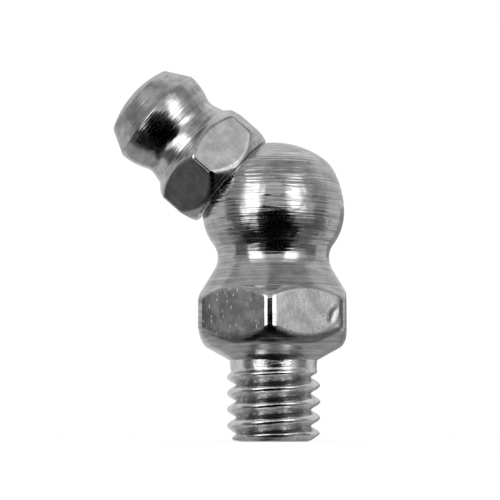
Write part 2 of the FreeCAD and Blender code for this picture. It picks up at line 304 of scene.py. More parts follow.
@dataclass(frozen=True)
class Flats:
    """Six flats on a turned form, with rounded corners between them.

    Args:
        across: size across the flats.
        corner_turn: direction of one corner, in degrees.
        corner_round: radius of the corners.
        crowding: how much closer the mesh's rows stand at the corners, up to 1.
        turned_off: depths under the bar between which a surface stops to count as drawn.
        flat_edge: degrees past a corner's rounding between which the flat starts.
    """

    across: float
    corner_turn: float
    corner_round: float
    crowding: float = 0.6
    turned_off: tuple[float, float] = (0.02, 0.08)
    flat_edge: tuple[float, float] = (-1.0, 1.5)

    @property
    def sharp_radius(self) -> float:
        """Return the distance of the corners from the axis, if they weren't rounded."""
        return self.across / math.sqrt(3)

    @property
    def round_centre(self) -> float:
        """Return the distance from the axis to the middle of a corner's rounding."""
        return (self.across / 2 - self.corner_round) / math.cos(SIXTH_TURN / 2)

    @property
    def corner_span(self) -> float:
        """Return the angle from a corner to where its rounding ends."""
        half = SIXTH_TURN / 2
        return math.atan2(self.corner_round * math.sin(half),
                          self.round_centre + self.corner_round * math.cos(half))

    def from_corner(self, angle: float) -> float:
        """Return the angle from the nearest corner to a direction."""
        turns = (angle - math.radians(self.corner_turn)) / SIXTH_TURN
        return (turns - round(turns)) * SIXTH_TURN

    def radius(self, angle: float) -> float:
        """Return the distance from the axis to the bar's surface in a direction.

        Args:
            angle: the direction, about the axis.

        Returns:
            The distance.
        """
        off = abs(self.from_corner(angle))
        if off > self.corner_span:
            return self.across / 2 / math.cos(SIXTH_TURN / 2 - off)
        aside = self.round_centre * math.sin(off)
        return self.round_centre * math.cos(off) + math.sqrt(self.corner_round ** 2 - aside ** 2)

    def crowd(self, angle: float) -> float:
        """Return a direction that is moved towards the nearest corner."""
        return angle - self.crowding / 6 * math.sin(6 * self.from_corner(angle))

    def drawn(self, radius: float, angle: float) -> float:
        """Return 1 on the drawn bar's surface and 0 where it is turned away."""
        return 1 - ease(*self.turned_off, self.radius(angle) - radius)

    def flatness(self, angle: float) -> float:
        """Return 1 towards a flat and 0 towards a corner, with a smooth change between."""
        past = math.degrees(abs(self.from_corner(angle)) - self.corner_span)
        return ease(*self.flat_edge, past)


def reshape(bm: bmesh.types.BMesh, flats: Flats,
            form: Callable[[float, float, float], float]) -> None:
    """Give a turned form its flats, thread and rings.

    Args:
        bm: the form, about the upright axis.
        flats: the flats, whose corners get more rows.
        form: new distance from the axis, from the old distance, the angle and the height.
    """
    for vert in bm.verts:
        radius = math.hypot(vert.co.x, vert.co.y)
        if radius > SEAM_GAP:
            angle = flats.crowd(math.atan2(vert.co.y, vert.co.x))
            radius = form(radius, angle, vert.co.z)
            vert.co.x = radius * math.cos(angle)
            vert.co.y = radius * math.sin(angle)


def mark_flats(piece: bpy.types.Object, flats: Flats, foot: float, top: float) -> None:
    """Store where the drawn bar and its flats are, for the finish.

    Args:
        piece: the piece, upright and in millimetres.
        flats: its flats.
        foot: lowest height of the flats.
        top: highest height of the flats.
    """
    drawn, flatness = [], []
    for vert in piece.data.vertices:
        x, y, z = vert.co
        angle = math.atan2(y, x)
        drawn.append(flats.drawn(math.hypot(x, y), angle) if foot < z < top else 0.0)
        flatness.append(drawn[-1] * flats.flatness(angle))
    for name, values in (("drawn", drawn), ("flatness", flatness)):
        layer = piece.data.attributes.new(name, "FLOAT", "POINT")
        layer.data.foreach_set("value", values)


def new_object(bm: bmesh.types.BMesh, name: str) -> bpy.types.Object:
    """Make an object at the origin from a bmesh, and free the bmesh.

    Args:
        bm: the bmesh.
        name: name of the object.

    Returns:
        The object.
    """
    mesh = bpy.data.meshes.new(name)
    bm.to_mesh(mesh)
    bm.free()
    obj = bpy.data.objects.new(name, mesh)
    bpy.context.scene.collection.objects.link(obj)
    return obj


def cut_away(piece: bpy.types.Object, bm: bmesh.types.BMesh) -> None:
    """Cut a piece with another form, which is used up.

    Args:
        piece: the piece.
        bm: the form that is cut away.
    """
    tool = new_object(bm, piece.name + "_tool")
    modifier = piece.modifiers.new("cut", "BOOLEAN")
    modifier.object = tool
    modifier.operation = "DIFFERENCE"
    modifier.solver = "EXACT"
    modifier.material_mode = "INDEX"
    graph = bpy.context.evaluated_depsgraph_get()
    mesh = bpy.data.meshes.new_from_object(piece.evaluated_get(graph))
    piece.modifiers.remove(modifier)
    rough, piece.data = piece.data, mesh
    bpy.data.meshes.remove(rough)
    bpy.data.objects.remove(tool)


def finish_mesh(piece: bpy.types.Object, crisp_angle: float) -> None:
    """Clean a piece's mesh, shade it and bring it to metres.

    Args:
        piece: the piece, in millimetres.
        crisp_angle: edges that turn by more than this many degrees stay sharp.
    """
    bm = bmesh.new()
    bm.from_mesh(piece.data)
    bmesh.ops.remove_doubles(bm, verts=bm.verts[:], dist=WELD_GAP)
    bmesh.ops.dissolve_degenerate(bm, edges=bm.edges[:], dist=SLIVER)
    for face in bm.faces:
        face.smooth = True
    limit = math.radians(crisp_angle)
    for edge in bm.edges:
        edge.smooth = edge.calc_face_angle(math.pi) < limit
    bmesh.ops.scale(bm, vec=(MM, MM, MM), verts=bm.verts[:])
    bm.to_mesh(piece.data)
    bm.free()
    piece.data.name = piece.name


Value = "Field | float"


def math_method(operation: str, swapped: bool = False) -> Callable[["Field", Value], "Field"]:
    """Return an operator for Field, which adds a Math node.

    Args:
        operation: what the node works out.
        swapped: whether the other value comes first, as in 1 - mask.

    Returns:
        The operator.
    """
    def method(value: "Field", other: Value) -> "Field":
        """Return the node's result."""
        values = (other, value) if swapped else (value, other)
        return value.finish.node("ShaderNodeMath", {"operation": operation}, *values)
    return method


class Field:
    """A socket of a node tree that adds Math nodes when it is used in an expression."""

    def __init__(self, finish: "Shader", socket: bpy.types.NodeSocket) -> None:
        """Wrap an output socket of a shader's tree."""
        self.finish = finish
        self.socket = socket

    __add__ = math_method("ADD")
    __radd__ = math_method("ADD", swapped=True)
    __sub__ = math_method("SUBTRACT")
    __rsub__ = math_method("SUBTRACT", swapped=True)
    __mul__ = math_method("MULTIPLY")
    __rmul__ = math_method("MULTIPLY", swapped=True)
    __truediv__ = math_method("DIVIDE")
    __pow__ = math_method("POWER")
    __lt__ = math_method("LESS_THAN")

    def sine(self) -> "Field":
        """Return the sine of the value in radians."""
        return self.finish.node("ShaderNodeMath", {"operation": "SINE"}, self)

    def lifted(self, low: float) -> "Field":
        """Return a value from 0 to 1 squeezed into the range from the low value to 1."""
        return self * (1 - low) + low

    def length(self, other: "Field") -> "Field":
        """Return the length of the two values as the sides of a right angle."""
        return (self * self + other * other) ** 0.5

    def direction(self, across: "Field") -> "Field":
        """Return the angle whose tangent is this value over the other."""
        return self.finish.node("ShaderNodeMath", {"operation": "ARCTAN2"}, self, across)

    def above(self, low: float, high: float) -> "Field":
        """Return a smooth rise from 0 at the low value to 1 at the high value."""
        settings = {"interpolation_type": "SMOOTHSTEP", "clamp": True}
        return self.finish.node("ShaderNodeMapRange", settings, self, low, high, 0.0, 1.0)


@dataclass(frozen=True)
class Grain:
    """Noise of a finish.

    Args:
        scale: how fine it is, per millimetre.
        detail: octaves of finer noise.
        rough: strength of those octaves.
    """

    scale: float
    detail: float = 2.0
    rough: float = 0.5


class Shader:
    """Node tree of one metal finish, read from Object coordinates in millimetres."""

    def __init__(self, name: str, placement: Matrix | None = None) -> None:
        """Start a material with an empty Principled surface.

        Args:
            name: name of the material.
            placement: transform from the pattern's own frame to the part's frame.
        """
        self.material = bpy.data.materials.new(name)
        self.material.use_nodes = True
        self.tree = self.material.node_tree
        self.surface = self.tree.nodes["Principled BSDF"]
        placed = placement or Matrix.Identity(4)
        turned = placed.to_euler()
        position = self.tree.nodes.new("ShaderNodeTexCoord").outputs["Object"]
        self.place = self.node("ShaderNodeMapping", {"vector_type": "TEXTURE"}, Field(self, position),
                               placed.translation * MM, turned, Vector((MM, MM, MM)))
        parts = self.tree.nodes.new("ShaderNodeSeparateXYZ")
        self.tree.links.new(self.place.socket, parts.inputs[0])
        self.x, self.y, self.z = (Field(self, output) for output in parts.outputs)

    def node(self, kind: str, settings: dict[str, object], *values: object) -> Field:
        """Add a node and return its first enabled output.

        Args:
            kind: type of the node.
            settings: properties that are set before its sockets.
            values: fields or constants for its enabled inputs, in order; None skips one.

        Returns:
            The node's first enabled output.
        """
        made = self.tree.nodes.new(kind)
        for name, value in settings.items():
            if name == "stops":
                self._set_stops(made.color_ramp, value)
            else:
                setattr(made, name, value)
        sockets = [socket for socket in made.inputs if socket.enabled]
        for socket, value in zip(sockets, values):
            if isinstance(value, Field):
                self.tree.links.new(value.socket, socket)
            elif value is not None:
                socket.default_value = value
        return Field(self, next(output for output in made.outputs if output.enabled))

    @staticmethod
    def _set_stops(ramp: bpy.types.ColorRamp, stops: Sequence[tuple[float, float]]) -> None:
        """Set the grey stops of a colour ramp.

        Args:
            ramp: the ramp.
            stops: position and grey of each stop.
        """
        for index, (position, grey) in enumerate(stops):
            stop = ramp.elements[index] if index < 2 else ramp.elements.new(position)
            stop.position = position
            stop.color = (grey, grey, grey, 1)

    def combine(self, x: Value, y: Value, z: Value) -> Field:
        """Return a vector made of three values."""
        return self.node("ShaderNodeCombineXYZ", {}, x, y, z)

    def stretched(self, sideways: float, upwards: float) -> Field:
        """Return the place with its sides and its height scaled."""
        return self.combine(self.x * sideways, self.y * sideways, self.z * upwards)

    def grain(self, place: Field, grain: Grain) -> Field:
        """Return noise about 0.5 at a place."""
        settings = {"noise_dimensions": "3D"}
        return self.node("ShaderNodeTexNoise", settings, place, grain.scale, grain.detail, grain.rough)

    def specks(self, place: Field, scale: float, size: float, core: float = 0.4) -> Field:
        """Return 1 inside small scattered specks and 0 outside them.

        Args:
            place: the place.
            scale: how close the specks lie.
            size: size of a speck, against their spacing.
            core: share of a speck that is fully 1.

        Returns:
            The mask.
        """
        settings = {"voronoi_dimensions": "3D", "feature": "F1"}
        distance = self.node("ShaderNodeTexVoronoi", settings, place, scale)
        return 1 - distance.above(size * core, size)

    def grey(self, amount: Field, stops: Sequence[tuple[float, float]]) -> Field:
        """Return a grey from a ramp."""
        return self.node("ShaderNodeValToRGB", {"stops": stops}, amount)

    def mark(self, name: str) -> Field:
        """Return a value that is stored with the mesh."""
        return self.node("ShaderNodeAttribute", {"attribute_name": name})

    def blend(self, first: Value, second: Value, share: Value) -> Field:
        """Return the first value where the share is 0 and the second where it is 1."""
        return first * (1 - share) + second * share

    def relief(self, height: Field) -> Field:
        """Return the normal of a surface with a fine relief, given in millimetres."""
        return self.node("ShaderNodeBump", {}, 1.0, MM, None, height)

    def link(self, name: str, value: Field) -> None:
        """Feed one of the surface's sockets."""
        self.tree.links.new(value.socket, self.surface.inputs[name])

    def constant(self, **values: float | tuple[float, ...]) -> None:
        """Set sockets of the surface that are the same all over it."""
        for name, value in values.items():
            self.surface.inputs[name.replace("_", " ").title()].default_value = value


@dataclass(frozen=True)
class Rings:
    """Rings that a lathe leaves.

    Args:
        per_mm: how many lie on a millimetre.
        length: how far one runs round the piece before it fades, in millimetres.
        detail: octaves of finer rings.
        rough: strength of those octaves.
    """

    per_mm: float
    length: float
    detail: float
    rough: float = 0.62


@dataclass(frozen=True)
class Mottle:
    """Mottling of drawn flats.

    Args:
        waves: noise of the broad waves.
        skin: noise of the fine skin.
        lines: noise of the lines along the bar.
        line_scale: how close the lines lie, sideways and upwards.
        shares: shares of the waves, the skin and the lines.
    """

    waves: Grain = Grain(1.1, 4.0, 0.55)
    skin: Grain = Grain(7.0, 4.0, 0.6)
    lines: Grain = Grain(1.0, 3.0, 0.6)
    line_scale: tuple[float, float] = (6.0, 1.3)
    shares: tuple[float, float, float] = (0.55, 0.2, 0.25)

    def pattern(self, shader: Shader) -> Field:
        """Return the mottling, about 0 to 1."""
        waves, skin, lines = self.shares
        drawn = shader.stretched(*self.line_scale)
        broad = shader.grain(shader.place, self.waves) * waves
        fine = shader.grain(shader.place, self.skin) * skin
        return broad + fine + shader.grain(drawn, self.lines) * lines


@dataclass(frozen=True)
class Nicks:
    """Small upright nicks that lie in some patches of the flats.

    Args:
        closeness: how close they lie, per millimetre.
        size: size of one, against their spacing.
        height_scale: how little the height counts, which makes them upright.
        patches: noise of the patches.
        patch_levels: levels of that noise between which the nicks appear.
        depth: depth of a nick, in millimetres.
        brightness: how much brighter a nick is.
    """

    closeness: float = 5.5
    size: float = 0.24
    height_scale: float = 0.3
    patches: Grain = Grain(0.8)
    patch_levels: tuple[float, float] = (0.38, 0.52)
    depth: float = 0.016
    brightness: float = 0.7

    def pattern(self, shader: Shader) -> Field:
        """Return 1 in the nicks and 0 elsewhere."""
        upright = shader.stretched(1.0, self.height_scale)
        patches = shader.grain(shader.place, self.patches).above(*self.patch_levels)
        return shader.specks(upright, self.closeness, self.size) * patches


@dataclass(frozen=True)
class TurnedSteel:
    """Plated steel with rings from the lathe, and mottled flats where the bar was drawn.

    Heights and depths are millimetres. Levels are the two values of a noise between which
    what it drives rises from nothing to full.

    Args:
        name: name of the material.
        placement: transform from the piece's upright frame to the part's frame.
        ball_height: height above which the rings follow a ball, not the axis.
        ball_radius: radius of that ball.
        broad_rings: the broad rings.
        fine_rings: the fine rings.
        tool_marks_per_mm: how many regular tool marks lie on a millimetre.
        tool_mark_sway: how far the broad rings push those marks, in radians.
        ring_shares: shares of the broad rings, the fine rings and the tool marks.
        ring_heights: heights between which the rings grow to their full depth.
        low_rings: share of that depth below those heights.
        ring_depth: depth of the rings.
        ring_patches: noise of the patches where the fine rings are plainer.
        ring_patch_levels: levels of that noise.
        faint_rings: share of the fine rings outside those patches.
        blotches: noise of the stains in the plating.
        blotch_depth: depth of the stains.
        blotch_levels: levels of the stains in the tone.
        rough_levels: levels of the stains in the roughness.
        streaks: share of the rings in the tone of the turned surface.
        streak_levels: levels of the fine rings in the tone.
        mottle: mottling of the flats.
        mottle_depth: depth of the mottling.
        mottle_levels: levels of the mottling in the tone.
        nicks: nicks in the flats.
        nicked: how plain the nicks are, up to 1.
        turned_roughness: lowest and highest roughness between the flats.
        flat_roughness: lowest and highest roughness on the flats.
        greys: darkest and brightest grey of the plating.
        flat_shade: how much of the tone the flats keep, as a factor.
        flat_drop: how much darker they are on top of that.
        corner_polish: how much smoother the drawn corners are, up to 1.
        matt_height: height above which the surface is matt.
        matt_edge: half of the height over which it turns matt.
        matt_roughness: roughness there.
        matt_shade: how much darker it is there, as a factor.
        matt_streak_loss: share of the streaks that is gone there.
    """

    name: str
    placement: Matrix | None = None
    ball_height: float = 9.2
    ball_radius: float = 4.4
    broad_rings: Rings = Rings(3.6, 6.0, 2.0)
    fine_rings: Rings = Rings(6.4, 3.4, 1.5)
    tool_marks_per_mm: float = 4.6
    tool_mark_sway: float = 9.0
    ring_shares: tuple[float, float, float] = (0.4, 0.8, 0.07)
    ring_heights: tuple[float, float] = (4.5, 8.5)
    low_rings: float = 0.15
    ring_depth: float = 0.085
    ring_patches: Grain = Grain(0.6)
    ring_patch_levels: tuple[float, float] = (0.38, 0.62)
    faint_rings: float = 0.3
    blotches: Grain = Grain(1.3, 5.0, 0.62)
    blotch_depth: float = 0.004
    blotch_levels: tuple[float, float] = (0.30, 0.70)
    rough_levels: tuple[float, float] = (0.32, 0.70)
    streaks: float = 0.6
    streak_levels: tuple[float, float] = (0.34, 0.66)
    mottle: Mottle = Mottle()
    mottle_depth: float = 0.022
    mottle_levels: tuple[float, float] = (0.30, 0.74)
    nicks: Nicks = Nicks()
    nicked: float = 1.0
    turned_roughness: tuple[float, float] = (0.14, 0.21)
    flat_roughness: tuple[float, float] = (0.24, 0.36)
    greys: tuple[float, float] = (0.29, 0.57)
    flat_shade: float = 0.88
    flat_drop: float = 0.06
    corner_polish: float = 0.55
    matt_height: float = OUT_OF_REACH
    matt_edge: float = 0.1
    matt_roughness: float = 0.27
    matt_shade: float = 0.70
    matt_streak_loss: float = 0.7

    def way(self, shader: Shader) -> Field:
        """Return the way along the surface, upwards, that the turning rings cross."""
        radius = shader.x.length(shader.y)
        rise = shader.z - self.ball_height
        over_ball = rise.direction(radius) * self.ball_radius + self.ball_height
        below = shader.z < self.ball_height
        return shader.z * below + over_ball * (1 - below)

    def rings(self, shader: Shader, rings: Rings) -> Field:
        """Return the height of one kind of rings, about 0.5."""
        along = self.way(shader) * rings.per_mm
        place = shader.combine(shader.x / rings.length, shader.y / rings.length, along)
        return shader.grain(place, Grain(1.0, rings.detail, rings.rough))

    def all_rings(self, shader: Shader, broad: Field, fine: Field) -> Field:
        """Return the height of the rings and tool marks together.

        Args:
            shader: the shader.
            broad: height of the broad rings.
            fine: height of the fine rings.

        Returns:
            The height, as a share of the rings' depth.
        """
        turns = self.way(shader) * (FULL_TURN * self.tool_marks_per_mm)
        tool_marks = (turns + broad * self.tool_mark_sway).sine()
        patches = shader.grain(shader.place, self.ring_patches).above(*self.ring_patch_levels)
        broad_share, fine_share, mark_share = self.ring_shares
        patchy = (fine * fine_share + tool_marks * mark_share) * patches.lifted(self.faint_rings)
        strength = shader.z.above(*self.ring_heights).lifted(self.low_rings)
        return (broad * broad_share + patchy) * strength

    def material(self) -> bpy.types.Material:
        """Build the material."""
        shader = Shader(self.name, self.placement)
        flat, drawn = shader.mark("flatness"), shader.mark("drawn")
        broad, fine = self.rings(shader, self.broad_rings), self.rings(shader, self.fine_rings)
        mottle, nicks = self.mottle.pattern(shader), self.nicks.pattern(shader) * self.nicked
        blotch = shader.grain(shader.place, self.blotches)
        rings = self.all_rings(shader, broad, fine) * (1 - drawn)
        turned_relief = rings * self.ring_depth + blotch * self.blotch_depth
        flat_relief = mottle * self.mottle_depth - nicks * self.nicks.depth
        shader.link("Normal", shader.relief(shader.blend(turned_relief, flat_relief, flat)))
        matt = shader.z.above(self.matt_height - self.matt_edge, self.matt_height + self.matt_edge)
        streaks = self.streaks * (1 - matt * self.matt_streak_loss)
        stains, lines = blotch.above(*self.blotch_levels), fine.above(*self.streak_levels)
        flat_tone = mottle.above(*self.mottle_levels) * self.flat_shade
        flat_tone = flat_tone + nicks * self.nicks.brightness - self.flat_drop
        tone = shader.blend(shader.blend(stains, lines, streaks), flat_tone, flat)
        low, high = self.greys
        grey = shader.grey(tone - matt * (1 - self.matt_shade), [(0, low), (1, high)])
        shader.link("Base Color", grey)
        smooth = shader.blend(self.turned_roughness[0], self.flat_roughness[0], flat)
        rough = shader.blend(self.turned_roughness[1], self.flat_roughness[1], flat)
        skin = shader.blend(smooth, rough, blotch.above(*self.rough_levels))
        polish = 1 - drawn * (1 - flat) * self.corner_polish
        shader.link("Roughness", shader.blend(skin * polish, self.matt_roughness, matt))
        shader.constant(metallic=1.0)
        return shader.material


@dataclass(frozen=True)
class RolledSteel:
    """Rolled thread: burnished crests, dull roots and flanks that are a little torn, with a painted
    highlight on the crests and painted shade in the roots.

    Args:
        name: name of the material.
        root: radius of the thread's roots.
        crest: radius of its crests.
        tears: noise of the torn lines.
        tear_scale: how close those lines lie, sideways and upwards.
        tear_depth: depth of the torn lines and the mottling.
        mottle: noise of the mottling.
        roughness: roughness of the crests and of the roots.
        greys: grey of the roots and of the crests, darker in the roots as painted shade and lighter on
            the crests as a painted highlight.
        painted_crest_light_share: share of the crests in the tone, which paints a highlight on the
            crests and shade in the roots.
        tone_levels: levels of the tone that have those greys.
    """

    name: str
    root: float
    crest: float
    tears: Grain = Grain(1.0, 4.0, 0.62)
    tear_scale: tuple[float, float] = (0.9, 5.0)
    tear_depth: float = 0.042
    mottle: Grain = Grain(2.6, 5.0, 0.62)
    roughness: tuple[float, float] = (0.12, 0.24)
    greys: tuple[float, float] = (0.37, 0.70)
    painted_crest_light_share: float = 0.25
    tone_levels: tuple[float, float] = (0.36, 0.64)

    def material(self) -> bpy.types.Material:
        """Build the material."""
        shader = Shader(self.name)
        crest = shader.x.length(shader.y).above(self.root, self.crest)
        torn = shader.grain(shader.stretched(*self.tear_scale), self.tears)
        mottle = shader.grain(shader.place, self.mottle)
        shader.link("Normal", shader.relief((torn + mottle) * (self.tear_depth / 2)))
        # The crests' share in the tone paints a highlight on the crests and shade in the roots.
        tone = shader.blend(mottle, crest, self.painted_crest_light_share)
        shader.link("Base Color", shader.grey(tone, list(zip(self.tone_levels, self.greys))))
        smooth, rough = self.roughness
        shader.link("Roughness", shader.blend(rough, smooth, crest))
        shader.constant(metallic=1.0)
        return shader.material


@dataclass(frozen=True)
class PlainSteel:
    """Plain machined or polished steel, for bores, the check ball and the spring.

    Args:
        name: name of the material.
        placement: transform from the piece's upright frame to the part's frame.
        roughness: lowest and highest roughness.
        greys: darkest and brightest grey.
        rings_per_mm: how many rings lie on a millimetre, roughly.
        ring_run: how fast a ring changes round the piece.
        rings: noise of the rings.
        ring_depth: depth of those rings.
        ring_share: share of the rings in the tone.
        mottle: noise of the mottling.
        levels: levels of tone and mottling between which grey and roughness change.
    """

    name: str
    placement: Matrix | None = None
    roughness: tuple[float, float] = (0.22, 0.34)
    greys: tuple[float, float] = (0.34, 0.46)
    rings_per_mm: float = 12.0
    ring_run: float = 0.5
    rings: Grain = Grain(1.0, 3.0, 0.6)
    ring_depth: float = 0.006
    ring_share: float = 0.4
    mottle: Grain = Grain(2.5, 4.0, 0.6)
    levels: tuple[float, float] = (0.3, 0.7)

    def material(self) -> bpy.types.Material:
        """Build the material."""
        shader = Shader(self.name, self.placement)
        way = (shader.x.length(shader.y) + shader.z) * self.rings_per_mm
        place = shader.combine(shader.x * self.ring_run, shader.y * self.ring_run, way)
        rings = shader.grain(place, self.rings)
        mottle = shader.grain(shader.place, self.mottle)
        tone = shader.blend(mottle, rings, self.ring_share)
        shader.link("Base Color", shader.grey(tone, list(zip(self.levels, self.greys))))
        shader.link("Roughness", shader.blend(*self.roughness, mottle.above(*self.levels)))
        shader.link("Normal", shader.relief(rings * self.ring_depth))
        shader.constant(metallic=1.0)
        return shader.material


@dataclass
class Thread:
    """Rolled M6 x 1 thread on the shank, right-handed, with a plain band above it.

    The flank slope is the fall of the radius per millimetre along the axis. Heights are
    negative, down to the shank's end.
    """

    length: float = 5.0
    pitch: float = 1.0
    crest_radius: float = 2.88
    root_radius: float = 2.21
    sharp_radius: float = 3.17
    flank_slope: float = 1.94
    first_crest: float = -0.53
    runout_start: float = -1.02
    runout_end: float = -0.48
    relief_radius: float = 2.70
    relief_fall: float = 0.05
    end_radius: float = 2.26
    end_slope: float = 1.35
    end_waver: float = 0.16
    root_blend: float = 0.36
    crest_blend: float = 0.34
    waver: float = 0.03
    lead_waver: float = 0.03
    waver_pace: float = 1.7
    waver_rise: float = 0.9

    def radius(self, angle: float, height: float) -> float:
        """Return the radius of the thread at an angle and a height.

        Args:
            angle: angle about the axis.
            height: height on the axis.

        Returns:
            The distance of the surface from the axis.
        """
        around = Vector((math.cos(angle), math.sin(angle), height * self.waver_rise))
        unevenness = noise.noise(around * self.waver_pace)
        led = height + self.lead_waver * unevenness - self.first_crest
        turns = led / self.pitch - angle / FULL_TURN
        from_crest = abs(turns - round(turns)) * self.pitch
        flank = self.sharp_radius - from_crest * self.flank_slope
        formed = soft_max(flank, self.root_radius, self.root_blend)
        formed = soft_min(formed, self.crest_radius + unevenness * self.waver, self.crest_blend)
        above_end = height + self.length + self.end_waver * unevenness
        end = self.end_radius + above_end * self.end_slope
        formed = soft_min(formed, end, self.crest_blend)
        plain = ease(self.runout_start, self.runout_end, height)
        return formed + (self.relief(height) - formed) * plain

    def relief(self, height: float) -> float:
        """Return the radius of the plain band above the thread, at a height below 0."""
        return self.relief_radius + height * self.relief_fall


@dataclass(frozen=True)
class ToolMark:
    """The dent that a tool left on the front right flat.

    Args:
        aside: distance of its middle from the middle of the flat.
        height: height of its middle.
        half_length: half of its length.
        half_width: half of its width.
        slant: how far its top leans away from the front corner, in degrees.
        depth: how deep it is.
        burr: how far its lip stands out.
        bottom: share of the dent that is as deep as its middle.
        lip: where its lip starts, is highest and ends, against the dent's rim.
    """

    aside: float = 1.75
    height: float = 2.62
    half_length: float = 0.66
    half_width: float = 0.27
    slant: float = 24.0
    depth: float = 0.050
    burr: float = 0.012
    bottom: float = 0.35
    lip: tuple[float, float, float] = (0.75, 1.05, 1.5)

    def relief(self, aside: float, height: float) -> float:
        """Return how far the flat stands out at a place, which is less than 0 in the dent.

        Args:
            aside: distance of the place from the middle of the flat.
            height: height of the place.

        Returns:
            The distance from the plain flat.
        """
        lean = math.radians(self.slant)
        across, up = aside - self.aside, height - self.height
        along = up * math.cos(lean) + across * math.sin(lean)
        over = across * math.cos(lean) - up * math.sin(lean)
        reach = math.hypot(along / self.half_length, over / self.half_width)
        start, crest, end = self.lip
        lip = ease(start, crest, reach) * (1 - ease(crest, end, reach))
        return self.burr * lip - self.depth * (1 - ease(self.bottom, 1.0, reach))


@dataclass(frozen=True)
class SlowRings:
    """Slow waves that the lathe left in a turned surface.

    Args:
        waves: depth, closeness and seed of each wave.
        sway_seed: seed of the way in which they sway round the piece.
        sway: how far they sway up and down.
        sway_pace: how fast they do so.
    """

    waves: tuple[tuple[float, float, float], ...]
    sway_seed: float
    sway: float = 0.05
    sway_pace: float = 0.6

    def rise(self, angle: float, height: float) -> float:
        """Return how far the surface stands out at a place."""
        place = height + self.sway * wander(angle * self.sway_pace, self.sway_seed)
        return sum(depth * wander(place * pace, seed) for depth, pace, seed in self.waves)


